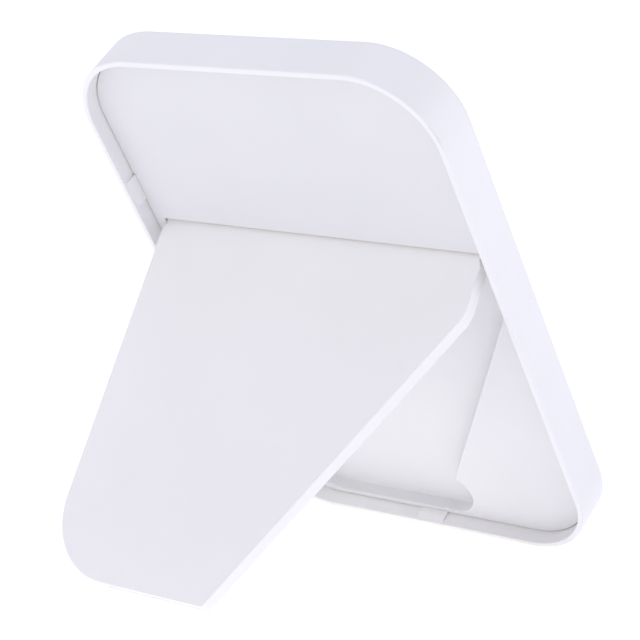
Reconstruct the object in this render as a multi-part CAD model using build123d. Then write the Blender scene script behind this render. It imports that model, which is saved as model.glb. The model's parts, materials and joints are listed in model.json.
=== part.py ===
from build123d import *
import math
import os

# A digital photo frame: a shallow moulded tray with the display in its front, a flat back
# panel sunk inside the rim, and a wide leg that folds out of a recess in that panel.
#
# Every piece is first built upright and closed, in millimetres: x to the right as seen from
# the front, y towards the back with the rear edge of the rim at y = 0, z up from the
# bottom of the rim. At the end the leg is swung open and the whole frame is leaned back
# until the rim and the foot both touch the table, with +Z up.

# Case
width = 140.0
height = 208.0
depth = 17.0
corner = 28.0
wall = 2.0
front_round = 1.4
rear_round = 0.5
rim_round = 0.35
flange = 2.1
ledge = 1.1
clip_reach = 0.85

# Cover glass and its seat in the front of the case
glass_inset = 2.4
glass_front = -16.95
glass_back = -15.85
seat = -15.75
window_width = 118.0
window_height = 188.0

# Display module, from the cell at the front to the steel tray at the back
display_z = height / 2
cell_front = -15.45
cell_back = -14.35
films_back = -14.05
guide_back = -13.25
mirror_back = -13.05
tray_back = -12.65
tray_width = 114.4
tray_height = 184.0

# Electronics behind the upper half of the display
plate_front = -12.5
plate_back = -12.1
plate_low = 137.0
plate_high = 196.0
board_front = -11.4
board_back = -10.6
board_low = 141.0
board_high = 185.0
board_left = 14.0
board_right = 64.0
port_y = -9.1
usb_z = 146.0
card_z = 158.5
button_places = {"power": 169.0, "menu": 177.0}
button_travel = 0.5

# Back panel and the recess that the leg folds into
panel_back = -5.7
panel_front = -7.5
panel_gap = 0.22
panel_round = 0.25
recess_floor = -11.0
floor_front = -12.2
recess_wall = 1.2
recess_gap = 0.6
recess_top = 135.25
recess_round = 0.8
notch_x = -9.4
notch_radius = 10.0

# Leg
open_angle = 66.0
axis_y = -8.2
axis_z = 132.2
leg_thickness = 5.0
leg_skin = 1.6
leg_length = 127.4
leg_half_top = 64.3
leg_half_low = 62.9
leg_corner = 26.0
barrel_half = 63.2
barrel_radius = 2.9
stop_reach = 2.77
head_drop = 2.0
shoulder_drop = 4.4
slant_top_z = 111.0
slant_low_x = -4.7
pin_radius = 1.0
pin_start = 56.6
pin_length = 9.0
foot_round = 0.5


def slab(outline, front, back):
    """Thickens an outline drawn in x and z from y = front to y = back."""
    return Rot(90, 0, 0) * Pos(0, 0, -back) * extrude(outline, amount=back - front)


def along_x(outline, start, end):
    """Runs an outline, drawn with z along its first side and y along its second, along x."""
    return Pos(start, 0, 0) * Rot(0, 90, 0) * extrude(outline, amount=end - start)


def block(x, y, z):
    """A box from its low and high ends along each axis."""
    size = [high - low for low, high in (x, y, z)]
    return Pos((x[0] + x[1]) / 2, (y[0] + y[1]) / 2, (z[0] + z[1]) / 2) * Box(*size)


def rod(x, z, radius, front, back):
    """A round bar along y."""
    return slab(Pos(x, z) * Circle(radius), front, back)


def case_outline(inset):
    """The rounded rectangle of the case, taken in by a distance all round."""
    shape = RectangleRounded(width - 2 * inset, height - 2 * inset, corner - inset)
    return Pos(0, height / 2) * shape


def ring(outer_width, outer_height, inner_width, inner_height, front, back):
    """A flat rectangular ring centred on the display."""
    outer = Rectangle(outer_width, outer_height)
    inner = Rectangle(inner_width, inner_height)
    return slab(Pos(0, display_z) * (outer - inner), front, back)


def sheet(sheet_width, sheet_height, front, back):
    """A flat rectangular layer centred on the display."""
    return slab(Pos(0, display_z) * Rectangle(sheet_width, sheet_height), front, back)


# ---------------------------------------------------------------- case

boss_radius = 2.6
plate_screws = [(62.4, 138.9), (62.4, 187.0), (-62.4, 152.0), (-62.4, 187.0)]
speaker_x = -32.0
slot_pitch = 3.0


def clip(length):
    """A ramped catch on a wall whose inner face is x = 0, with its run along z."""
    ramp = [(-0.6, panel_back + 0.1), (clip_reach, panel_back + 0.1), (clip_reach, -3.2)]
    ramp += [(0.15, -0.7), (-0.6, -0.7)]
    return Pos(0, 0, -length / 2) * extrude(make_face(Polyline(*ramp, close=True)), amount=length)


def panel_clips():
    """The six catches that hold the back panel down inside the rim."""
    side, end = width / 2 - wall, height - wall
    side_length, end_length = 10.5, 11.0
    clips = []
    for z in (50.0, 149.3):
        clips.append(Pos(-side, 0, z) * clip(side_length))
        clips.append(Pos(side, 0, z) * Rot(0, 180, 0) * clip(side_length))
    clips.append(Pos(0, 0, wall) * Rot(0, -90, 0) * clip(end_length))
    clips.append(Pos(0, 0, end) * Rot(0, 90, 0) * clip(end_length))
    return clips


def side_hole(z, y, length, opening):
    """A slot with round ends through the side wall that carries the ports."""
    outline = Pos(-z, y) * RectangleRounded(length, opening, opening / 2 - 0.01)
    return along_x(outline, width / 2 - wall - 0.5, width / 2 + 0.5)


def sound_slots():
    """Five slots in the bottom wall under the speaker."""
    slots = []
    for i in range(5):
        x = speaker_x + (i - 2) * slot_pitch
        slots.append(block((x - 0.6, x + 0.6), (-12.0, -8.2), (-1, wall + 1)))
    return slots


def front_shell():
    """Rim and front in one moulding: window, glass seat, panel ledge, catches and bosses."""
    shell = slab(case_outline(0), -depth, 0)
    shell = fillet(shell.faces().sort_by(Axis.Y)[0].edges(), front_round)
    shell = fillet(shell.faces().sort_by(Axis.Y)[-1].edges(), rear_round)
    shell -= slab(case_outline(wall), flange - depth, 1)
    rim = shell.faces().sort_by(Axis.Y)[-1]
    shell = fillet(rim.inner_wires()[0].edges(), rim_round)
    shell -= slab(case_outline(glass_inset - 0.1), -depth - 1, seat)
    shell -= sheet(window_width, window_height, -depth, flange - depth + 1)
    shelf = slab(case_outline(wall - 0.2) - case_outline(wall + ledge), flange - depth, panel_front)
    shelf -= slab(recess_outline(recess_wall + 0.3), flange - depth, panel_front + 1)
    clear_y = (flange - depth, panel_front + 1)
    shelf -= block((60, width / 2), clear_y, (plate_low, 182.0))
    shelf -= block((speaker_x - 12, speaker_x + 12), clear_y, (0, 10))
    shell += shelf
    for catch in panel_clips():
        shell += catch
    for x, z in plate_screws:
        shell += rod(x, z, boss_radius, flange - depth, plate_front)
        shell -= rod(x, z, 0.95, flange - depth + 0.4, plate_front)
    shell -= side_hole(usb_z, port_y, 9.4, 3.5)
    shell -= side_hole(card_z, port_y - 0.6, 12.4, 1.5)
    for z in button_places.values():
        shell -= side_hole(z, port_y, 6.3, 2.5)
    for slot in sound_slots():
        shell -= slot
    return shell


# ---------------------------------------------------------------- glass and display

def cover_glass():
    """Flat cover glass that fills the front, set just below the rim."""
    glass = slab(case_outline(glass_inset), glass_front, glass_back)
    return chamfer(glass.faces().sort_by(Axis.Y)[0].edges(), 0.25)


def glass_tape():
    """Double-sided tape between the glass and its seat."""
    opening = Pos(0, display_z) * RectangleRounded(window_width + 2, window_height + 2, 12.0)
    return slab(case_outline(glass_inset + 0.6) - opening, glass_back, seat)


def display_gasket():
    """Soft foam frame that keeps dust out between the glass and the cell."""
    return ring(113.0, 181.0, 109.6, 174.4, glass_back, cell_front)


def display_cell():
    """Two bonded panes; the rear one is longer, to carry the flexible circuit."""
    pane = (cell_back - cell_front) / 2
    rear = sheet(113.0, 182.4, cell_front + pane, cell_back)
    front = sheet(113.0, 178.4, cell_front, cell_front + pane)
    return rear + Pos(0, 0, -2.0) * front


def diffuser_films():
    """Prism and diffuser films, as one stack."""
    return sheet(110.8, 179.0, cell_back, films_back)


def light_guide():
    """Clear plate that spreads the light from its lower edge."""
    return Pos(0, 0, 1.2) * sheet(110.6, 175.6, films_back, guide_back)


def backlight_leds():
    """Strip of light-emitting diodes along the lower edge of the light guide."""
    low = display_z - 89.0
    strip = block((-54, 54), (films_back, films_back + 0.15), (low, low + 2.0))
    for i in range(18):
        x = (i - 8.5) * 6.0
        strip += block((x - 1.5, x + 1.5), (films_back + 0.15, guide_back), (low + 0.2, low + 1.9))
    return strip


def mirror_film():
    """White reflector behind the light guide."""
    return sheet(110.8, 179.0, guide_back, mirror_back)


def backlight_frame():
    """White moulded frame that holds the films and the guide."""
    return ring(113.6, 183.2, 111.2, 179.6, cell_back, mirror_back)


def display_tray():
    """Folded steel tray round the back of the display."""
    tray = sheet(tray_width, tray_height, mirror_back, tray_back)
    return tray + ring(tray_width, tray_height, 113.8, 183.4, cell_back - 0.3, mirror_back)


def display_flex():
    """Flexible circuit that folds round the tray's top edge and runs down to the board."""
    top = display_z + tray_height / 2 + 0.5
    thick = 0.15
    down = board_high - 3.0
    wide = (28.0, 50.0)
    tail_y = board_back + 0.35
    flex = block(wide, (cell_front + 0.4, cell_front + 0.55), (display_z + 89.6, top))
    flex += block(wide, (cell_front + 0.4, tail_y), (top, top + thick))
    flex += block(wide, (tail_y - thick, tail_y), (down, top))
    return flex


# ---------------------------------------------------------------- mounting plate and board

board_screws = [(x, z) for x in (board_left + 3.0, 55.0) for z in (143.5, 181.0)]
spacer_radius = 2.1


def mounting_plate():
    """Steel plate behind the display that carries the board and the battery."""
    arch = Pos(0, (plate_low + plate_high) / 2) * RectangleRounded(116.0, plate_high - plate_low, 6.0)
    plate = slab(arch & case_outline(wall + ledge + 3.0), plate_front, plate_back)
    for x, z in plate_screws:
        ear = Pos(x - math.copysign(1.5, x), z) * RectangleRounded(8.0, 4.6, 1.5)
        plate += slab(ear, plate_front, plate_back)
    for x, z in plate_screws:
        plate -= rod(x, z, 1.1, plate_front - 1, plate_back + 1)
    for x, z in board_screws:
        plate -= rod(x, z, 1.45, plate_front - 1, plate_back + 1)
    return plate


def board_spacers():
    """Pressed-in nuts that hold the board off the plate."""
    nuts = []
    for x, z in board_screws:
        nut = rod(x, z, spacer_radius, plate_back, board_front)
        nut += rod(x, z, 1.4, plate_front, plate_back)
        nuts.append(nut - rod(x, z, 1.0, plate_front - 1, board_front + 1))
    return Compound(nuts)


def screw(x, z, head_front, head_height, tip, radius):
    """Pan-head screw along y with a cross recess."""
    head = rod(x, z, 1.75, head_front, head_front + head_height)
    head = fillet(head.faces().sort_by(Axis.Y)[-1].edges(), head_height * 0.45)
    body = head + rod(x, z, radius, tip, head_front)
    cross_y = (head_front + 0.35, head_front + 2)
    for wide, tall in ((0.95, 0.22), (0.22, 0.95)):
        body -= block((x - wide, x + wide), cross_y, (z - tall, z + tall))
    return body


def board_fixings():
    """Screws through the board into the spacers."""
    return Compound([screw(x, z, board_back, 1.0, plate_front + 0.1, 0.9) for x, z in board_screws])


def plate_fixings():
    """Screws through the plate into the bosses of the case."""
    return Compound([screw(x, z, plate_back, 1.0, plate_front - 1.8, 0.9) for x, z in plate_screws])


def main_board():
    """Circuit board, with its outer edge cut back for the buttons."""
    board = block((board_left, board_right), (board_front, board_back), (board_low, board_high))
    for x, z in board_screws:
        board -= rod(x, z, 1.1, board_front - 1, board_back + 1)
    return board


def chip(x, z, size_x, size_z, thick):
    """A flat component on the back of the board."""
    half_x, half_z = size_x / 2, size_z / 2
    return block((x - half_x, x + half_x), (board_back, board_back + thick), (z - half_z, z + half_z))


def processor():
    """Main processor with a bevelled lid."""
    return chamfer(chip(36.0, 162.0, 14.0, 14.0, 1.2).faces().sort_by(Axis.Y)[-1].edges(), 0.3)


def memory_chips():
    """Two memory packages beside the processor."""
    return Compound([chip(24.0, z, 7.6, 10.6, 1.0) for z in (154.5, 166.5)])


def flash_chip():
    """Storage package below the processor."""
    return chip(37.5, 147.0, 11.5, 8.0, 1.0)


def wireless_module():
    """Radio under a pressed metal can."""
    can = chip(22.8, 175.8, 8.0, 6.0, 1.8)
    return fillet(can.edges().filter_by(Axis.Y), 0.8)


def power_parts():
    """Charger package and two wound coils."""
    parts = [chip(27.0, 146.5, 4.0, 4.0, 0.9)]
    for z in (150.5, 154.5):
        coil = fillet(chip(49.0, z - 2.5, 3.4, 3.4, 2.0).edges().filter_by(Axis.Y), 0.7)
        parts.append(Pos(-1.0, 0, 0) * coil)
    return Compound(parts)


def small_parts():
    """Rows of capacitors and resistors round the processor."""
    parts = []
    for i in range(8):
        parts.append(chip(29.2 + i * 1.9, 171.6, 1.0, 0.6, 0.5))
        parts.append(chip(29.2 + i * 1.9, 152.9, 1.0, 0.6, 0.5))
    for i in range(5):
        parts.append(chip(45.2, 156.6 + i * 2.3, 0.6, 1.0, 0.5))
    return Compound(parts)


def board_sockets():
    """Sockets for the display, battery and speaker leads."""
    flex_socket = chip(39.0, board_high - 1.6, 24.0, 2.6, 0.2)
    flex_socket += chip(39.0, board_high - 3.9, 24.0, 1.6, 1.0)
    battery_socket = chip(17.0, 169.0, 4.0, 5.0, 1.5)
    speaker_socket = chip(17.0, 150.0, 3.4, 4.2, 1.2)
    return Compound([flex_socket, battery_socket, speaker_socket])


def usb_socket():
    """Power and data socket: a drawn steel shell with a contact tongue."""
    outline = Pos(-usb_z, port_y) * RectangleRounded(8.9, 3.0, 1.49)
    hollow = Pos(-usb_z, port_y) * RectangleRounded(8.3, 2.4, 1.19)
    tongue = Pos(-usb_z, port_y) * Rectangle(6.7, 0.7)
    socket = along_x(outline, 60.0, 67.8) - along_x(hollow, 61.0, 69.0)
    return socket + along_x(tongue, 60.5, 66.6)


def card_socket():
    """Memory card socket with its slot facing the side wall."""
    body = block((51.6, 67.5), (board_back, port_y + 0.15), (card_z - 6.4, card_z + 6.4))
    slot = block((53.0, 69.0), (port_y - 1.1, port_y - 0.1), (card_z - 5.6, card_z + 5.6))
    return body - slot


# ---------------------------------------------------------------- buttons

switch_face = 63.2
switch_depth = 2.8
plunger_radius = 0.8
cap_end = width / 2 + 0.25


def button_switches():
    """Side-push switches on the edge of the board, one behind each button."""
    switches = []
    switch_x = (switch_face - switch_depth, switch_face)
    for z in button_places.values():
        body = block(switch_x, (board_back, port_y + 1.4), (z - 2.4, z + 2.4))
        hole = along_x(Pos(-z, port_y) * Circle(plunger_radius + 0.1), switch_face - 1.7, switch_face + 1)
        switches.append(body - hole)
    return Compound(switches)


def switch_plunger(z):
    """Plunger of one switch, which the button's stem rests on."""
    return along_x(Pos(-z, port_y) * Circle(plunger_radius), switch_face - 1.0, switch_face + 1.0)


def button(z):
    """Push button: a slim cap through the side wall, a flange that retains it, and a stem."""
    cap = along_x(Pos(-z, port_y) * RectangleRounded(6.0, 2.2, 1.09), 67.2, cap_end)
    cap = fillet(cap.faces().sort_by(Axis.X)[-1].edges(), 0.3)
    collar = along_x(Pos(-z, port_y) * Rectangle(7.4, 3.0), 67.0, 67.8)
    stem = along_x(Pos(-z, port_y) * Circle(plunger_radius), switch_face + 1.0, 67.0)
    return cap + collar + stem


# ---------------------------------------------------------------- battery, speaker, aerial

battery_box = ((-57.0, 5.0), (-11.95, -8.35), (142.0, 192.0))
lead_radius = 0.4


def battery():
    """Flat lithium pouch cell with soft edges and a sealed top flap."""
    cell = block(*battery_box)
    cell = fillet(cell.edges(), 1.2)
    flap_y = (battery_box[1][1] - 1.5, battery_box[1][1] - 0.7)
    return cell + block((battery_box[0][1] - 1.5, battery_box[0][1] + 3.0), flap_y, (146.0, 188.0))


def battery_tape():
    """Adhesive sheet under the battery."""
    return block((-54.0, 2.0), (plate_back, battery_box[1][0]), (145.0, 189.0))


def battery_pad():
    """Foam pad between the battery and the back panel."""
    return block((-46.0, -8.0), (battery_box[1][1], panel_front), (152.0, 182.0))


def lead(points, radii):
    """A thin insulated wire along straight runs joined by arcs."""
    path = FilletPolyline(*points, radius=radii)
    return sweep(Plane(path @ 0, z_dir=path % 0) * Circle(lead_radius), path=path)


def battery_leads():
    """Two short wires from the battery's flap to the board."""
    flap, socket = battery_box[0][1] + 3.0, 15.0
    wires = []
    for shift in (-0.9, 0.9):
        z = 169.0 + shift
        wires.append(along_x(Pos(-z, board_back + 0.75) * Circle(lead_radius), flap, socket))
    return Compound(wires)


def speaker():
    """Boxed speaker that fires down through the bottom slots."""
    box = block((speaker_x - 11, speaker_x + 11), (-12.3, -7.8), (3.6, 17.6))
    box = fillet(box.edges().filter_by(Axis.Y), 1.5)
    return box - block((speaker_x - 7.5, speaker_x + 7.5), (-11.8, -8.4), (3.0, 6.0))


def speaker_gasket():
    """Foam ring that seals the speaker to the bottom wall."""
    outer = block((speaker_x - 9, speaker_x + 9), (-12.25, -7.85), (wall, 3.6))
    return outer - block((speaker_x - 7.5, speaker_x + 7.5), (-11.8, -8.4), (0, 5.0))


def speaker_leads():
    """Two wires from the speaker, up the channel beside the display, to the board."""
    wires = []
    for shift in (0.0, 1.0):
        side = -58.6 - shift
        rise = 139.4 + shift
        route = [(speaker_x - 11.0, -10.6, 9.0 + shift), (side + 4.0, -10.8, 9.0 + shift)]
        route += [(side, -11.2, 16.0), (side, -13.6, 26.0), (side, -13.6, 136.0), (-57.8, -11.5, rise)]
        route += [(10.0, -11.5, rise), (12.6 - shift, -10.2, 150.5 - shift), (15.3, -10.0, 150.5 - shift)]
        wires.append(lead(route, [2.5, 4.0, 8.0, 1.2, 1.2, 2.0, 0.6]))
    return Compound(wires)


def wireless_aerial():
    """Flexible aerial stuck to the inside of the back panel."""
    return block((-30.0, 10.0), (panel_front - 0.15, panel_front), (195.0, 201.0))


def aerial_lead():
    """Thin screened lead from the aerial to the radio."""
    route = [(8.0, -8.1, 197.0), (16.0, -8.1, 197.0), (20.0, -8.2, 190.0), (22.0, -8.2, 179.0)]
    return lead(route, [4.0, 2.5])


# ---------------------------------------------------------------- leg and back panel

def slant_x(z):
    """Side of the leg that runs diagonally, as x for a height."""
    foot_z = axis_z - leg_length
    return slant_low_x + (z - foot_z) * (-leg_half_top - slant_low_x) / (slant_top_z - foot_z)


def leg_outline(grow):
    """Outline of the folded leg below its hinge line, taken out by a distance all round."""
    foot_z = axis_z - leg_length
    head_z, shoulder_z = axis_z - head_drop, axis_z - shoulder_drop
    points = [(-barrel_half, axis_z), (barrel_half, axis_z), (barrel_half, head_z)]
    points += [(leg_half_top, shoulder_z), (leg_half_low, foot_z), (slant_low_x, foot_z)]
    points += [(-leg_half_top, slant_top_z), (-leg_half_top, shoulder_z), (-barrel_half, head_z)]
    face = make_face(Polyline(*points, close=True))
    foot_corner = face.vertices().sort_by_distance(Vector(leg_half_low, foot_z))[0]
    face = fillet(foot_corner, leg_corner)
    bend = face.vertices().sort_by_distance(Vector(-leg_half_top, slant_top_z))[0]
    face = fillet(bend, 12.0)
    toe = face.vertices().sort_by_distance(Vector(slant_low_x, foot_z))[0]
    face = fillet(toe, 1.0)
    if grow:
        face = offset(face, amount=grow, kind=Kind.INTERSECTION)
    return face


def recess_outline(grow):
    """The leg's outline with its gap, the slot for the hinge and the finger notch."""
    head_low = axis_z - head_drop
    head_half = barrel_half + recess_gap + grow
    head_high = recess_top + grow
    head = Pos(0, (head_low + head_high) / 2) * Rectangle(2 * head_half, head_high - head_low)
    notch_z = axis_z - leg_length - recess_gap + notch_radius
    notch = Pos(notch_x, notch_z) * Circle(notch_radius + grow)
    return leg_outline(recess_gap + grow) + head + notch


def back_panel():
    """Flat panel inside the rim, with the moulded recess for the leg and its hinge bosses."""
    panel = slab(case_outline(wall + panel_gap), panel_front, panel_back)
    panel += slab(recess_outline(recess_wall), floor_front, panel_back)
    recess = slab(recess_outline(0), recess_floor, panel_back + 1)
    recess = fillet(recess.faces().sort_by(Axis.Y)[0].edges(), recess_round)
    panel -= recess
    face = panel.faces().sort_by(Axis.Y)[-1]
    panel = fillet(face.edges(), panel_round)
    for side in (-1, 1):
        hole = Pos(-axis_z, axis_y) * Circle(pin_radius + 0.01)
        near, far = sorted((side * barrel_half, side * (pin_start + pin_length + 0.1)))
        panel -= along_x(hole, near, far)
    return panel


def panel_foam():
    """Foam strips that press the display forward from behind the recess floor."""
    strips = [block((x - 3, x + 3), (tray_back, floor_front), (40.0, 120.0)) for x in (-6.0, 40.0)]
    return Compound(strips)


def barrel():
    """Round top of the leg, with the flat that meets the recess floor when it is open."""
    half = leg_thickness / 2
    out_z = math.sqrt(barrel_radius**2 - half**2)
    stop_angle = 180.0 - open_angle
    stop_start = stop_angle - math.degrees(math.acos(stop_reach / barrel_radius))
    in_z = math.sqrt(stop_reach**2 - half**2)

    def polar(radius, angle):
        return (radius * math.cos(math.radians(angle)), radius * math.sin(math.radians(angle)))

    rise = (half, out_z)
    crown = ThreePointArc(rise, polar(barrel_radius, 65.0), polar(barrel_radius, stop_start))
    flat = Line(polar(barrel_radius, stop_start), polar(stop_reach, stop_angle))
    back = ThreePointArc(polar(stop_reach, stop_angle), polar(stop_reach, 135.0), (-half, in_z))
    base = Polyline((-half, in_z), (-half, -1.0), (half, -1.0), rise)
    section = make_face(Curve() + [crown, flat, back, base])
    upright = Rot(0, -90, 0) * Rot(0, 0, 90) * extrude(section, amount=barrel_half, both=True)
    return upright


leg_inner = axis_y - leg_thickness / 2
leg_end = axis_z - leg_length
foot_ends = (-2.5, 35.5)
foot_depth = 2.0
foot_proud = 0.3
foot_back = axis_y - 0.4
ejector_marks = [(x, z) for x in (-15.0, 15.0, 45.0) for z in (54.5, 87.5, 114.0)]


def stand_leg():
    """Wide leg: a flat skin with a rim and ribs on the side that faces into the recess."""
    inner, outer = leg_inner, leg_inner + leg_thickness
    outline = leg_outline(0)
    leg = slab(outline, inner, outer)
    leg = fillet(leg.faces().sort_by(Axis.Y)[-1].edges(), 0.35)
    hollow = offset(outline, amount=-leg_skin, kind=Kind.INTERSECTION)
    band = Pos(0, axis_z) * Rectangle(2 * width, 16.0)
    core = slab(hollow - band, inner - 1, outer - leg_skin)
    for x in (-30.0, 0.0, 30.0):
        core -= block((x - 0.6, x + 0.6), (inner, outer), (0, axis_z))
    for z in (38.0, 71.0, 104.0):
        core -= block((-width, width), (inner, outer), (z - 0.6, z + 0.6))
    core -= block((-width, width), (inner - 1, outer), (0, leg_end + 2 * foot_depth))
    leg -= core
    for x, z in ejector_marks:
        leg -= rod(x, z, 2.0, inner, outer - leg_skin + 0.12)
    leg += Pos(0, axis_y, axis_z) * barrel()
    for side in (-1, 1):
        hole = Pos(-axis_z, axis_y) * Circle(pin_radius + 0.05)
        near, far = sorted((side * (pin_start - 0.4), side * (barrel_half + 1)))
        leg -= along_x(hole, near, far)
    return leg - block(foot_ends, (inner - 1, foot_back), (0, leg_end + foot_depth))


def foot_strip():
    """Soft strip let into the end of the leg, which grips the table."""
    strip = block(foot_ends, (leg_inner, foot_back), (leg_end - foot_proud, leg_end + foot_depth))
    sole = strip.edges().filter_by(Axis.X).group_by(Axis.Z)[0]
    return fillet(sole, foot_round)


def hinge_pins():
    """Two steel pins, pressed into the bosses of the panel and free in the leg."""
    pins = []
    for side in (-1, 1):
        near, far = sorted((side * pin_start, side * (pin_start + pin_length)))
        pins.append(along_x(Pos(-axis_z, axis_y) * Circle(pin_radius), near, far))
    return Compound(pins)


def hinge_washers():
    """Spring washers that give the hinge its friction, one at each end of the leg."""
    washers = []
    for side in (-1, 1):
        face = Circle(2.2) - Circle(pin_radius + 0.05)
        start = barrel_half + 0.1 if side > 0 else -barrel_half - 0.5
        washers.append(along_x(Pos(-axis_z, axis_y) * face, start, start + 0.4))
    return Compound(washers)


# ---------------------------------------------------------------- pose and export

def lean_angle():
    """How far the frame leans back when the rim's rear edge and the foot strip both touch."""
    foot_y = -leg_thickness / 2 + foot_round
    foot_z = -leg_length - foot_proud + foot_round
    turn = math.radians(open_angle)
    open_y = axis_y + foot_y * math.cos(turn) - foot_z * math.sin(turn)
    open_z = axis_z + foot_y * math.sin(turn) + foot_z * math.cos(turn)
    return math.degrees(math.atan2(open_z - rear_round, open_y + rear_round))


def swing(shape):
    """Turns a piece of the leg from folded to open."""
    return Pos(0, axis_y, axis_z) * Rot(open_angle, 0, 0) * Pos(0, -axis_y, -axis_z) * shape


def build():
    """All the pieces by name, upright, with the leg open."""
    fixed = [front_shell, cover_glass, glass_tape, display_gasket, display_cell, diffuser_films]
    fixed += [light_guide, backlight_leds, mirror_film, backlight_frame, display_tray, display_flex]
    fixed += [mounting_plate, board_spacers, board_fixings, plate_fixings, main_board, processor]
    fixed += [memory_chips, flash_chip, wireless_module, power_parts, small_parts, board_sockets]
    fixed += [usb_socket, card_socket, button_switches, battery, battery_tape, battery_pad]
    fixed += [battery_leads, speaker, speaker_gasket, speaker_leads, wireless_aerial, aerial_lead]
    fixed += [back_panel, panel_foam, hinge_pins, hinge_washers]
    pieces = {make.__name__: make() for make in fixed}
    for name, z in button_places.items():
        pieces[name + "_button"] = button(z)
        pieces[name + "_plunger"] = switch_plunger(z)
    pieces["stand_leg"] = swing(stand_leg())
    pieces["foot_strip"] = swing(foot_strip())
    return pieces


def stance(pieces):
    """Leans the frame back on the table, with the middle of its base at the origin."""
    lean = Rot(-lean_angle(), 0, 0)
    boxes = [(lean * piece).bounding_box() for piece in pieces.values()]
    low_y = min(box.min.Y for box in boxes)
    high_y = max(box.max.Y for box in boxes)
    return Pos(0, -(low_y + high_y) / 2, -min(box.min.Z for box in boxes)) * lean


def main():
    os.makedirs("parts", exist_ok=True)
    pieces = build()
    place = stance(pieces)
    for name, piece in pieces.items():
        export_step(place * piece, os.path.join("parts", name + ".step"))


if __name__ == "__main__":
    main()
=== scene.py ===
import json
import math

import bmesh
import bpy
from mathutils import Matrix, Vector


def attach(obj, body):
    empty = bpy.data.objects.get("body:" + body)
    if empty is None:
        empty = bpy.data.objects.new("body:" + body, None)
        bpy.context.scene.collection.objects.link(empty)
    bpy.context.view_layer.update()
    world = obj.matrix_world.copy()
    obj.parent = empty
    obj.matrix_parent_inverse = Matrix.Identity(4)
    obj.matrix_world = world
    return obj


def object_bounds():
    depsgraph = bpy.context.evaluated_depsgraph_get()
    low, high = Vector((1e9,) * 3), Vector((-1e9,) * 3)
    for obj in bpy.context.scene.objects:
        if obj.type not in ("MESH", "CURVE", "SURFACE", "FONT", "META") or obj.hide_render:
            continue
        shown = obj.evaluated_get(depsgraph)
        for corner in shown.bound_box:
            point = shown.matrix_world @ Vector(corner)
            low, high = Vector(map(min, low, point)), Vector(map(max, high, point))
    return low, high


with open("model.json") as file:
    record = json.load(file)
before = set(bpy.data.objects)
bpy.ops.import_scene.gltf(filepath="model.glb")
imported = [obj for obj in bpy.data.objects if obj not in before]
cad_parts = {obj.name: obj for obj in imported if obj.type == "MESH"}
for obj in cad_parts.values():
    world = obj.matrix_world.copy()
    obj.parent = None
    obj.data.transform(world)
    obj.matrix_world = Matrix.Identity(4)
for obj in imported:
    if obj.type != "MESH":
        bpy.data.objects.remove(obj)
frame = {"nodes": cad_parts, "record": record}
nodes = frame["nodes"]
cad_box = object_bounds()

# ---------------------------------------------------------------- table
# The frame stands on a wide sheet of white acrylic whose own surface glows with painted light,
# standing in for light from below. The painted glow is strongest close round the frame, dips a little
# and then rises again towards the far edge.

table_reach = 12.0
table_corners = [(-table_reach, -table_reach, 0), (table_reach, -table_reach, 0),
                 (table_reach, table_reach, 0), (-table_reach, table_reach, 0)]
table_mesh = bpy.data.meshes.new("table")
table_mesh.from_pydata(table_corners, [], [(0, 1, 2, 3)])
table = bpy.data.objects.new("table", table_mesh)
bpy.context.scene.collection.objects.link(table)


def new_finish(name, **sockets):
    """A material with these plain values on its shader."""
    finish = bpy.data.materials.new(name)
    finish.use_nodes = True
    shader = finish.node_tree.nodes["Principled BSDF"]
    for socket, value in sockets.items():
        shader.inputs[socket.replace("_", " ")].default_value = value
    return finish


acrylic = new_finish(
    "white_acrylic", Base_Color=(0.93, 0.93, 0.93, 1), Roughness=0.9, Specular_IOR_Level=0.1,
    Emission_Color=(0.98, 0.97, 1.0, 1))


def painted_glow_from_middle(reach, middle, edge):
    """Painted glow on the table that goes from one strength in the middle to another at a distance."""
    tree = acrylic.node_tree
    place = tree.nodes.new("ShaderNodeTexCoord")
    spread = tree.nodes.new("ShaderNodeMapping")
    spread.inputs["Scale"].default_value = (1 / reach, 1 / reach, 1)
    ball = tree.nodes.new("ShaderNodeTexGradient")
    ball.gradient_type = "QUADRATIC_SPHERE"
    glow = tree.nodes.new("ShaderNodeMapRange")
    glow.inputs["To Min"].default_value = edge
    glow.inputs["To Max"].default_value = middle
    tree.links.new(place.outputs["Object"], spread.inputs["Vector"])
    tree.links.new(spread.outputs["Vector"], ball.inputs["Vector"])
    tree.links.new(ball.outputs["Fac"], glow.inputs["Value"])
    return glow.outputs["Result"]


# Painted light: the table's surface itself emits, most in a pool close round the frame.
painted_close_glow = painted_glow_from_middle(0.16, 0.84, 0.0)
painted_wide_glow = painted_glow_from_middle(0.9, 0.19, 0.47)
both = acrylic.node_tree.nodes.new("ShaderNodeMath")
acrylic.node_tree.links.new(painted_close_glow, both.inputs[0])
acrylic.node_tree.links.new(painted_wide_glow, both.inputs[1])
acrylic.node_tree.links.new(
    both.outputs[0], acrylic.node_tree.nodes["Principled BSDF"].inputs["Emission Strength"])
table_mesh.materials.append(acrylic)

# ---------------------------------------------------------------- tent and lamps
# A pale cloth tent surrounds the table. Three soft lamps shine in through the cloth, one
# overhead, one in front beside the glass and one behind on the far side.

tent = bpy.data.worlds.new("tent")
tent.use_nodes = True
cloth = tent.node_tree.nodes["Background"]
cloth.inputs["Color"].default_value = (0.93, 0.92, 1.0, 1)
cloth.inputs["Strength"].default_value = 0.71
bpy.context.scene.world = tent
bpy.context.scene.view_settings.view_transform = "Standard"
frame_middle = (cad_box[0] + cad_box[1]) / 2


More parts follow.
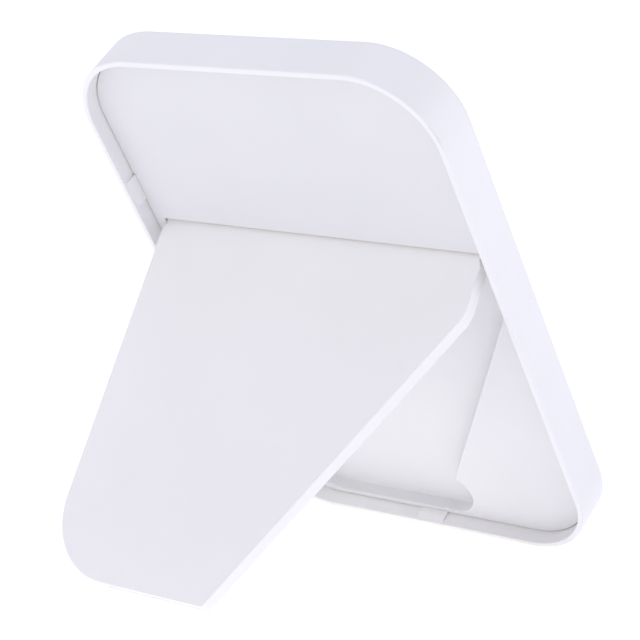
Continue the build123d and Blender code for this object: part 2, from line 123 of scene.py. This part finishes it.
def soft_lamp(name, place, size, power, colour):
    """A square lamp behind cloth, turned to the middle of the frame."""
    data = bpy.data.lights.new(name, "AREA")
    data.shape = "SQUARE"
    data.size = size
    data.energy = power
    data.color = colour
    lamp = bpy.data.objects.new(name, data)
    lamp.location = place
    lamp.rotation_euler = (frame_middle - Vector(place)).to_track_quat("-Z", "Y").to_euler()
    bpy.context.scene.collection.objects.link(lamp)


soft_lamp("overhead", (0.0, 0.1, 1.7), 1.5, 5.4, (0.70, 0.737, 1.0))
soft_lamp("beside_glass", (-1.25, -0.55, 0.45), 0.8, 2.8, (0.856, 0.878, 1.0))
soft_lamp("far_side", (0.9, 1.1, 0.7), 0.9, 3.45, (0.98, 1.0, 0.97))

# ---------------------------------------------------------------- camera
# A long lens, 0.7 m from the frame: behind it, off to the right as seen from there, and a
# little above it. It looks down by 10 degrees and leans by 1 degree.

lens = bpy.data.cameras.new("camera")
lens.sensor_width = 36.0
lens.lens = 121.65
camera = bpy.data.objects.new("camera", lens)
camera.location = (-0.4130, 0.5774, 0.2032)
camera.rotation_euler = [math.radians(turn) for turn in (80.381, -1.123, -143.820)]
bpy.context.scene.collection.objects.link(camera)
bpy.context.scene.camera = camera

# ---------------------------------------------------------------- case
# The front shell is one injection moulding in white ABS, with a fine satin texture from the
# spark-eroded tool. The glass is bonded in from the front, and the rest goes in from behind.


def cloud(finish, size, stretch=(1, 1, 1), detail=2.0):
    """Soft noise fixed to the piece, in cells of that size in metres."""
    tree = finish.node_tree
    place = tree.nodes.new("ShaderNodeTexCoord")
    scale = tree.nodes.new("ShaderNodeMapping")
    scale.inputs["Scale"].default_value = [along / size for along in stretch]
    noise = tree.nodes.new("ShaderNodeTexNoise")
    noise.inputs["Scale"].default_value = 1.0
    noise.inputs["Detail"].default_value = detail
    tree.links.new(place.outputs["Object"], scale.inputs["Vector"])
    tree.links.new(scale.outputs["Vector"], noise.inputs["Vector"])
    return noise.outputs["Fac"]


def between(finish, source, start, end, low=0.0, high=1.0):
    """Turns a source that runs from start to end into one that runs from low to high."""
    tree = finish.node_tree
    span = tree.nodes.new("ShaderNodeMapRange")
    for socket, value in (("From Min", start), ("From Max", end), ("To Min", low), ("To Max", high)):
        span.inputs[socket].default_value = value
    tree.links.new(source, span.inputs["Value"])
    return span.outputs["Result"]


def layer(finish, share, colour):
    """Lays a colour over the finish so far, by a share that differs from point to point."""
    tree = finish.node_tree
    base = tree.nodes["Principled BSDF"].inputs["Base Color"]
    mix = tree.nodes.new("ShaderNodeMix")
    mix.data_type = "RGBA"
    under, over = [socket for socket in mix.inputs if socket.type == "RGBA"]
    if base.is_linked:
        tree.links.new(base.links[0].from_socket, under)
    else:
        under.default_value = base.default_value
    over.default_value = (*colour, 1)
    tree.links.new(share, mix.inputs["Factor"])
    tree.links.new([socket for socket in mix.outputs if socket.type == "RGBA"][0], base)


def mottle(finish, size, start, end, colour, most=1.0, detail=2.0):
    """Lays a colour over the finish in soft patches of that size in metres."""
    patches = cloud(finish, size, detail=detail)
    layer(finish, between(finish, patches, start, end, 0.0, most), colour)


def sheen(finish, source, smooth, rough):
    """Lets the roughness drift between two values."""
    socket = finish.node_tree.nodes["Principled BSDF"].inputs["Roughness"]
    finish.node_tree.links.new(between(finish, source, 0.3, 0.7, smooth, rough), socket)


def relief(finish, source, height):
    """Raises the surface by up to a height in metres, on top of any relief it already has."""
    tree = finish.node_tree
    socket = tree.nodes["Principled BSDF"].inputs["Normal"]
    bump = tree.nodes.new("ShaderNodeBump")
    bump.inputs["Distance"].default_value = height
    if socket.is_linked:
        tree.links.new(socket.links[0].from_socket, bump.inputs["Normal"])
    tree.links.new(source, bump.inputs["Height"])
    tree.links.new(bump.outputs["Normal"], socket)


def grain(finish, size, height, detail=2.0):
    """Raises the surface in soft bumps of that size and height in metres."""
    relief(finish, cloud(finish, size, detail=detail), height)


def painted_crevice_shade(finish, reach, colour, strength):
    """Paints warm shade into the tight corners, found by ambient occlusion, standing in for the light
    that comes back out of the plastic there.
    """
    tree = finish.node_tree
    open_sky = tree.nodes.new("ShaderNodeAmbientOcclusion")
    open_sky.samples = 6
    open_sky.inputs["Distance"].default_value = reach
    layer(finish, between(finish, open_sky.outputs["AO"], 0.55, 0.12, 0.0, strength), colour)


def moulded_white(name, colour, cell, depth, smooth, rough):
    """White ABS: a fine eroded texture, faint flow marks, light rubbing and painted warm shade in the
    corners.
    """
    finish = new_finish(name, Base_Color=(*colour, 1), IOR=1.49, Specular_IOR_Level=0.42)
    flow_marks = [part * 0.98 for part in colour]
    specks = [part * 0.9 for part in colour]
    mottle(finish, 0.045, 0.35, 0.7, flow_marks, detail=3.0)
    mottle(finish, 0.0011, 0.66, 0.74, specks, 0.35, 4.0)
    # Painted shade: a darker, warmer colour laid into the tight corners.
    painted_crevice_shade(finish, 0.0035, (0.90, 0.84, 0.76), 0.8)
    sheen(finish, cloud(finish, 0.008, (1.0, 1.0, 0.25), 5.0), smooth, rough)
    grain(finish, 0.030, 0.00006)
    grain(finish, cell, depth, 3.0)
    return finish


def dress(finish, *names):
    """Gives pieces of the frame a finish in place of the plain one they came with."""
    for name in names:
        mesh = nodes[name].data
        mesh.materials.clear()
        mesh.materials.append(finish)


dress(moulded_white("case_white", (0.87, 0.868, 0.87), 0.00045, 0.000010, 0.34, 0.46), "front_shell")

# ---------------------------------------------------------------- cover glass
# A pane of float glass fills the front, held by thin black tape. A border of black ink is
# printed on its inner face, with a round opening for the light sensor above the display.

face = [mount for mount in frame["record"]["mounts"] if mount["name"] == "front_face"][0]
outward = Vector(face["axis"])
across = Vector((1, 0, 0))
upward = outward.cross(across)
upright = Matrix((across, upward, outward)).transposed().to_4x4()
upright = Matrix.Translation(Vector(face["pos_m"])) @ upright
sharp_angle = 0.6


def own_box(name):
    """A node's lowest and highest corners across, up and out of the glass, from its middle."""
    turned = [upright.inverted() @ point.co for point in nodes[name].data.vertices]
    low = Vector([min(point[i] for point in turned) for i in range(3)])
    high = Vector([max(point[i] for point in turned) for i in range(3)])
    return low, high


def add_piece(name, shape, finish):
    """Makes a piece from a bmesh drawn across, up and out of the glass, fixed in the case."""
    bmesh.ops.recalc_face_normals(shape, faces=shape.faces)
    mesh = bpy.data.meshes.new(name)
    shape.to_mesh(mesh)
    shape.free()
    mesh.transform(upright)
    for polygon in mesh.polygons:
        polygon.use_smooth = True
    mesh.set_sharp_from_angle(angle=sharp_angle)
    mesh.materials.append(finish)
    piece = bpy.data.objects.new(name, mesh)
    bpy.context.scene.collection.objects.link(piece)
    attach(piece, "frame")


def round_rectangle(low, high, radius, steps):
    """Points round a rectangle with round corners, each corner cut in that many steps."""
    points = []
    corners = [(high.x, high.y, 0), (low.x, high.y, 1), (low.x, low.y, 2), (high.x, low.y, 3)]
    for x, y, quarter in corners:
        centre_x = x - math.copysign(radius, x - (low.x + high.x) / 2)
        centre_y = y - math.copysign(radius, y - (low.y + high.y) / 2)
        for step in range(steps + 1):
            angle = (quarter + step / steps) * math.pi / 2
            points.append((centre_x + radius * math.cos(angle), centre_y + radius * math.sin(angle)))
    return points


def circle(up, radius, steps=48):
    """Points round a circle on the middle line of the glass."""
    angles = [2 * math.pi * step / steps for step in range(steps)]
    return [(radius * math.cos(angle), up + radius * math.sin(angle)) for angle in angles]


def flat_layer(loops, back, front):
    """A flat layer between two depths. The first loop is its outline, any others are holes."""
    shape = bmesh.new()
    edges = []
    for loop in loops:
        ring = [shape.verts.new((x, y, back)) for x, y in loop]
        edges += [shape.edges.new((ring[i - 1], ring[i])) for i in range(len(ring))]
    bmesh.ops.triangle_fill(shape, edges=edges, use_beauty=True)
    grown = bmesh.ops.extrude_face_region(shape, geom=shape.faces[:])["geom"]
    moved = [item for item in grown if isinstance(item, bmesh.types.BMVert)]
    bmesh.ops.translate(shape, verts=moved, vec=(0, 0, front - back))
    return shape


float_glass = new_finish(
    "float_glass", Base_Color=(0.90, 0.96, 0.94, 1), Roughness=0.02, IOR=1.52,
    Transmission_Weight=1.0)
grain(float_glass, 0.05, 0.000002)
dress(float_glass, "cover_glass")

black_ink = new_finish(
    "black_ink", Base_Color=(0.008, 0.008, 0.009, 1), Roughness=0.55, Specular_IOR_Level=0.3)
mottle(black_ink, 0.012, 0.40, 0.7, (0.011, 0.011, 0.012), 0.5)
grain(black_ink, 0.006, 0.000002)

glass_low, glass_high = own_box("cover_glass")
cell_low, cell_high = own_box("display_cell")
glass_corner = 0.0256
ink_margin = Vector((0.00035, 0.00035, 0))
ink_back = glass_low.z + 0.00001
ink_front = glass_low.z + 0.00004
sensor_up = glass_high.y - 0.0075
sensor_radius = 0.0013
filter_radius = sensor_radius - 0.00003
dark_edge = Vector((0.0022, 0.0044, 0))
border = round_rectangle(
    glass_low + ink_margin, glass_high - ink_margin, glass_corner - ink_margin.x, 24)
window = round_rectangle(cell_low + dark_edge, cell_high - dark_edge, 0.0008, 6)
sensor_hole = circle(sensor_up, sensor_radius)
add_piece("border_print", flat_layer([border, window, sensor_hole], ink_back, ink_front), black_ink)

sensor_filter = new_finish(
    "sensor_filter", Base_Color=(0.05, 0.018, 0.03, 1), Roughness=0.12, Specular_IOR_Level=0.6)
mottle(sensor_filter, 0.001, 0.4, 0.6, (0.035, 0.012, 0.02))
filter_spot = flat_layer([circle(sensor_up, filter_radius)], ink_back, ink_front)
add_piece("sensor_filter", filter_spot, sensor_filter)

black_tape = new_finish("black_tape", Base_Color=(0.02, 0.02, 0.021, 1), Roughness=0.75)
mottle(black_tape, 0.0006, 0.4, 0.65, (0.035, 0.035, 0.036), detail=5.0)
grain(black_tape, 0.0003, 0.00004, 4.0)
dress(black_tape, "glass_tape")

# ---------------------------------------------------------------- display
# The liquid crystal cell is two bonded panes with matt polarisers, sealed to the glass with
# a ring of foam. It is switched off: a dark blue-grey field inside a black edge.

cell_edge = new_finish("cell_edge", Base_Color=(0.010, 0.010, 0.012, 1), Roughness=0.30)
mottle(cell_edge, 0.012, 0.4, 0.6, (0.013, 0.014, 0.018))
dress(cell_edge, "display_cell")

polariser = new_finish(
    "polariser", Base_Color=(0.016, 0.018, 0.024, 1), Roughness=0.35, Specular_IOR_Level=0.2)
mottle(polariser, 0.05, 0.35, 0.65, (0.019, 0.018, 0.027), 0.35)
grain(polariser, 0.009, 0.000003)
picture_margin = dark_edge + Vector((0.0005, 0.0005, 0))
picture = round_rectangle(cell_low + picture_margin, cell_high - picture_margin, 0.0002, 2)
picture_back = cell_high.z + 0.00001
picture_front = cell_high.z + 0.00008
add_piece("picture_area", flat_layer([picture], picture_back, picture_front), polariser)

dark_foam = new_finish("dark_foam", Base_Color=(0.045, 0.045, 0.048, 1), Roughness=0.95)
mottle(dark_foam, 0.0007, 0.35, 0.6, (0.02, 0.02, 0.022), detail=6.0)
grain(dark_foam, 0.0006, 0.0003, 6.0)
dress(dark_foam, "display_gasket")

# ---------------------------------------------------------------- backlight
# Behind the cell lie two satin films, a clear acrylic guide with a strip of lamps along its
# lower edge, and a white film, all kept square by a thin moulded frame.


def grid_lines(finish, pitch, share, stretch=(1, 1)):
    """Straight lines both ways, a pitch in metres apart, as wide as a share of the pitch."""
    tree = finish.node_tree
    place = tree.nodes.new("ShaderNodeTexCoord")
    turn_back = tree.nodes.new("ShaderNodeMapping")
    turn_back.vector_type = "TEXTURE"
    turn_back.inputs["Rotation"].default_value = upright.to_euler()
    bricks = tree.nodes.new("ShaderNodeTexBrick")
    bricks.offset = 0.0
    bricks.inputs["Scale"].default_value = 1.0
    bricks.inputs["Mortar Size"].default_value = pitch * share
    bricks.inputs["Brick Width"].default_value = pitch * stretch[0]
    bricks.inputs["Row Height"].default_value = pitch * stretch[1]
    tree.links.new(place.outputs["Object"], turn_back.inputs["Vector"])
    tree.links.new(turn_back.outputs["Vector"], bricks.inputs["Vector"])
    return bricks.outputs["Fac"]


satin_film = new_finish(
    "satin_film", Base_Color=(0.80, 0.82, 0.85, 1), Roughness=0.35, Coat_Weight=0.3,
    Coat_Roughness=0.15)
mottle(satin_film, 0.03, 0.4, 0.6, (0.74, 0.78, 0.84), 0.5)
relief(satin_film, cloud(satin_film, 0.00005, (1, 0.02, 0.02)), 0.00001)
dress(satin_film, "diffuser_films", "mirror_film")

clear_acrylic = new_finish(
    "clear_acrylic", Base_Color=(0.93, 0.97, 0.97, 1), Roughness=0.05, IOR=1.49,
    Transmission_Weight=0.9)
layer(clear_acrylic, grid_lines(clear_acrylic, 0.0009, 0.3), (0.97, 0.98, 0.98))
dress(clear_acrylic, "light_guide")

lamp_strip = new_finish("lamp_strip", Base_Color=(0.86, 0.86, 0.82, 1), Roughness=0.35)
mottle(lamp_strip, 0.002, 0.45, 0.6, (0.88, 0.78, 0.32))
grain(lamp_strip, 0.0006, 0.00003)
dress(lamp_strip, "backlight_leds")

plain_white = new_finish("plain_white", Base_Color=(0.78, 0.78, 0.77, 1), Roughness=0.6)
mottle(plain_white, 0.01, 0.4, 0.7, (0.73, 0.73, 0.71), detail=4.0)
grain(plain_white, 0.0004, 0.00002, 3.0)
dress(plain_white, "backlight_frame")

# ---------------------------------------------------------------- steel plates and fixings
# The display's tray and the plate that carries the board are pressed from tin-plated sheet.
# Brass nuts are pressed into the plate, and zinc-plated screws hold plate and board.


def rolled_metal(name, colour, dark, rough, size=0.0012):
    """Sheet or drawn metal with fine drawn lines, faint stains and an uneven shine."""
    finish = new_finish(name, Base_Color=(*colour, 1), Metallic=1.0)
    lines = cloud(finish, size, (1.0, 0.03, 0.03), 4.0)
    stains = [part * 0.86 for part in colour]
    layer(finish, between(finish, lines, 0.35, 0.7, 0.0, 0.6), dark)
    mottle(finish, 0.018, 0.52, 0.75, stains, 0.5, 5.0)
    sheen(finish, lines, rough * 0.8, rough * 1.3)
    relief(finish, lines, 0.00001)
    return finish


dress(rolled_metal("tin_plate", (0.63, 0.64, 0.65), (0.52, 0.53, 0.55), 0.34),
      "display_tray", "mounting_plate")
dress(rolled_metal("pressed_brass", (0.74, 0.57, 0.28), (0.60, 0.44, 0.20), 0.28), "board_spacers")
dress(rolled_metal("zinc_plate", (0.60, 0.62, 0.66), (0.48, 0.50, 0.55), 0.30, 0.0004),
      "board_fixings", "plate_fixings")

# ---------------------------------------------------------------- film circuits
# The display's flat lead and the radio's aerial are copper tracks on thin amber film, under a
# clear cover film. The lead folds over the tray to the board, and the aerial is stuck to
# the inside of the back panel.

amber_film = new_finish(
    "amber_film", Base_Color=(0.52, 0.27, 0.05, 1), Roughness=0.3, Coat_Weight=0.4,
    Coat_Roughness=0.1)
layer(amber_film, grid_lines(amber_film, 0.0006, 0.5, (1, 60)), (0.62, 0.36, 0.10))
grain(amber_film, 0.004, 0.00005)
dress(amber_film, "display_flex", "wireless_aerial")

# ---------------------------------------------------------------- main board
# A four-layer glass-fibre board with a green mask over copper tracks. The chips are moulded
# in black epoxy, and the small parts are fired ceramic with tinned ends. The flash chip
# stands on bent tinned leads, soldered to the board along two sides.

green_mask = new_finish(
    "green_mask", Base_Color=(0.015, 0.13, 0.055, 1), Roughness=0.32, Coat_Weight=0.5,
    Coat_Roughness=0.15)
tracks = grid_lines(green_mask, 0.0011, 0.42, (5, 1))
layer(green_mask, between(green_mask, tracks, 0.0, 1.0, 0.55, 0.0), (0.03, 0.23, 0.09))
mottle(green_mask, 0.009, 0.5, 0.52, (0.02, 0.18, 0.075), 0.6)
relief(green_mask, tracks, 0.00003)
dress(green_mask, "main_board")

black_epoxy = new_finish("black_epoxy", Base_Color=(0.022, 0.022, 0.024, 1), Roughness=0.55)
mottle(black_epoxy, 0.0003, 0.55, 0.7, (0.05, 0.05, 0.052), detail=3.0)
grain(black_epoxy, 0.0002, 0.00002, 3.0)
dress(black_epoxy, "processor", "memory_chips", "flash_chip", "power_parts")


def add_bar(shape, low, high, bevel):
    """Adds a bar between two corners, with its edges broken."""
    low, high = Vector(low), Vector(high)
    made = bmesh.ops.create_cube(shape, size=1.0)["verts"]
    size = high - low
    for point in made:
        point.co = Vector([low[i] + size[i] * (point.co[i] + 0.5) for i in range(3)])
    edges = list({edge for point in made for edge in point.link_edges})
    bmesh.ops.bevel(shape, geom=edges, offset=bevel, segments=2, affect="EDGES")


chip_low, chip_high = own_box("flash_chip")
chip_middle = (chip_low.x + chip_high.x) / 2
lead_count = 15
lead_pitch = 0.0007
lead_half = 0.00013
lead_thick = 0.00012
lead_rise = 0.00045
lead_root = 0.0001
lead_bend = 0.00028
lead_toe = 0.00062
lead_sole = 0.00003
leads = bmesh.new()
for side, edge in ((-1, chip_low.y), (1, chip_high.y)):
    root = edge - side * lead_root
    heel = edge + side * (lead_bend - lead_thick)
    bend = edge + side * lead_bend
    toe = edge + side * lead_toe
    for i in range(lead_count):
        x = chip_middle + (i - (lead_count - 1) / 2) * lead_pitch
        for start, end, under, over in (
                (root, bend, lead_rise, lead_rise + lead_thick),
                (heel, bend, lead_sole, lead_rise + lead_thick),
                (heel, toe, lead_sole, lead_sole + lead_thick)):
            y_low, y_high = sorted((start, end))
            add_bar(leads, (x - lead_half, y_low, chip_high.z - over),
                    (x + lead_half, y_high, chip_high.z - under), 0.00003)
tinned_lead = rolled_metal("tinned_lead", (0.70, 0.71, 0.72), (0.58, 0.59, 0.60), 0.3, 0.0002)
add_piece("flash_leads", leads, tinned_lead)

fired_ceramic = new_finish("fired_ceramic", Base_Color=(0.42, 0.31, 0.20, 1), Roughness=0.4)
mottle(fired_ceramic, 0.0009, 0.47, 0.53, (0.66, 0.66, 0.67))
grain(fired_ceramic, 0.0003, 0.00002)
dress(fired_ceramic, "small_parts")

ivory_nylon = new_finish("ivory_nylon", Base_Color=(0.74, 0.70, 0.58, 1), Roughness=0.5)
mottle(ivory_nylon, 0.002, 0.4, 0.7, (0.68, 0.63, 0.50), detail=4.0)
grain(ivory_nylon, 0.0003, 0.00002)
dress(ivory_nylon, "board_sockets")

# ---------------------------------------------------------------- sockets in the side wall
# The power socket and the memory card slot are drawn steel shells soldered to the board's
# edge, with gold-plated contacts inside. The radio's can is drawn from the same steel.

dress(rolled_metal("drawn_steel", (0.66, 0.67, 0.69), (0.54, 0.55, 0.58), 0.26, 0.0006),
      "usb_socket", "card_socket", "wireless_module")
gold_plate = rolled_metal("gold_plate", (0.83, 0.62, 0.26), (0.70, 0.50, 0.18), 0.2, 0.0003)

usb_low, usb_high = own_box("usb_socket")
usb_middle = (usb_low + usb_high) / 2
contact_count = 12
contact_pitch = 0.0005
contact_half = 0.00014
contact_thick = 0.00008
tongue_half = 0.00036
contact_root = usb_high.x - 0.0045
contact_tip = usb_high.x - 0.0016
contacts = bmesh.new()
for side in (-1, 1):
    near = usb_middle.z + side * tongue_half
    z_low, z_high = sorted((near, near + side * contact_thick))
    for i in range(contact_count):
        y = usb_middle.y + (i - (contact_count - 1) / 2) * contact_pitch
        add_bar(contacts, (contact_root, y - contact_half, z_low),
                (contact_tip, y + contact_half, z_high), 0.00003)
add_piece("usb_contacts", contacts, gold_plate)

card_low, card_high = own_box("card_socket")
spring_count = 8
spring_pitch = 0.0013
spring_half = 0.0002
spring_thick = 0.00015
spring_low = card_low.z + 0.00045
spring_root = card_low.x + 0.0018
spring_tip = card_high.x - 0.004
first_spring = card_low.y + 0.0018
springs = bmesh.new()
for i in range(spring_count):
    y = first_spring + i * spring_pitch
    add_bar(springs, (spring_root, y - spring_half, spring_low),
            (spring_tip, y + spring_half, spring_low + spring_thick), 0.00005)
add_piece("card_contacts", springs, gold_plate)

# ---------------------------------------------------------------- keys
# The two keys are small satin caps in the same white as the case. Each pushes an ivory
# plunger into a black switch on the board.

dress(moulded_white("key_white", (0.86, 0.86, 0.865), 0.0003, 0.000006, 0.24, 0.34),
      "power_button", "menu_button")
dress(ivory_nylon, "power_plunger", "menu_plunger")
black_nylon = new_finish("black_nylon", Base_Color=(0.03, 0.03, 0.032, 1), Roughness=0.5)
mottle(black_nylon, 0.001, 0.45, 0.7, (0.05, 0.05, 0.053), detail=4.0)
grain(black_nylon, 0.0003, 0.00002)
dress(black_nylon, "button_switches")

# ---------------------------------------------------------------- speaker
# A boxed speaker in black nylon, pressed on a foam ring against the bottom of the case. Its
# cone is pressed from black paper, with a rolled edge, and faces the slots in the case.


def dish(loops, thickness):
    """A thin skin through rings of points, closed in the middle."""
    shape = bmesh.new()
    rings = [[shape.verts.new(point) for point in loop] for loop in loops]
    for near, far in zip(rings, rings[1:]):
        for i in range(len(near)):
            shape.faces.new((near[i - 1], near[i], far[i], far[i - 1]))
    shape.faces.new(rings[-1])
    bmesh.ops.solidify(shape, geom=shape.faces[:], thickness=thickness)
    return shape


speaker_low, speaker_high = own_box("speaker")
mouth_low = Vector((speaker_low.x + 0.0036, speaker_low.z + 0.0007, 0))
mouth_high = Vector((speaker_high.x - 0.0036, speaker_high.z - 0.0006, 0))
mouth_corner = 0.0016
paper_thick = 0.0001
cone_section = [(0.0, 0.0020), (0.00018, 0.0017), (0.0004, 0.0016), (0.0006, 0.0017),
                (0.0007, 0.0020), (0.0012, 0.0022), (0.0014, 0.0021)]
loops = []
for inward, rise in cone_section:
    step = Vector((inward, inward, 0))
    outline = round_rectangle(mouth_low + step, mouth_high - step, mouth_corner - inward, 6)
    loops.append([(x, speaker_low.y + rise, z) for x, z in outline])
pressed_paper = new_finish("pressed_paper", Base_Color=(0.035, 0.034, 0.033, 1), Roughness=0.8)
mottle(pressed_paper, 0.0007, 0.4, 0.7, (0.07, 0.068, 0.065), detail=4.0)
grain(pressed_paper, 0.0004, 0.00003, 3.0)
add_piece("speaker_cone", dish(loops, paper_thick), pressed_paper)
dress(black_nylon, "speaker")
dress(dark_foam, "speaker_gasket")

# ---------------------------------------------------------------- battery and leads
# The battery is a pouch of laminated foil, stuck down with black tape under a foam pad. Its
# leads are red, and the speaker's and the aerial's are black, all with soft plastic sleeves.

foil_pouch = rolled_metal("foil_pouch", (0.62, 0.63, 0.65), (0.55, 0.56, 0.58), 0.42, 0.006)
grain(foil_pouch, 0.007, 0.0003, 3.0)
dress(foil_pouch, "battery")
dress(black_tape, "battery_tape")
dress(dark_foam, "battery_pad")


def sleeve(name, colour):
    """Soft plastic sleeve of a wire, a little darker in places."""
    finish = new_finish(name, Base_Color=(*colour, 1), Roughness=0.4)
    mottle(finish, 0.003, 0.4, 0.7, [part * 0.7 for part in colour])
    grain(finish, 0.0008, 0.00003)
    return finish


dress(sleeve("black_lead", (0.02, 0.02, 0.02)), "speaker_leads", "aerial_lead")
dress(sleeve("red_lead", (0.42, 0.02, 0.02)), "battery_leads")

# ---------------------------------------------------------------- back panel
# The back panel is a flat white moulding, clipped into the rim. It has a pocket that holds
# the folded leg, with a scoop for a fingertip. Foam strips behind it press on the display.

# The panel's white is darker than the case's and the leg's: partly its own tone, partly painted shade.
dress(moulded_white("panel_white", (0.774, 0.771, 0.778), 0.00035, 0.000016, 0.46, 0.58), "back_panel")
dress(dark_foam, "panel_foam")

# ---------------------------------------------------------------- hinge
# Two ground steel pins, each pressed into a boss of the back panel and free in the leg. A
# spring washer at each end of the leg gives the hinge its friction.

dress(rolled_metal("ground_steel", (0.60, 0.61, 0.62), (0.50, 0.51, 0.53), 0.22, 0.0003),
      "hinge_pins", "hinge_washers")

# ---------------------------------------------------------------- leg
# The leg is a wide white moulding with ribs behind a flat skin, and its round top turns on
# the pins. A strip of soft pale silicone let into its end grips the table.

dress(moulded_white("leg_white", (0.87, 0.864, 0.862), 0.00035, 0.000016, 0.44, 0.56), "stand_leg")

pale_silicone = new_finish("pale_silicone", Base_Color=(0.86, 0.86, 0.86, 1), Roughness=0.7)
mottle(pale_silicone, 0.003, 0.45, 0.7, (0.80, 0.80, 0.79), detail=4.0)
grain(pale_silicone, 0.0005, 0.00003, 3.0)
dress(pale_silicone, "foot_strip")
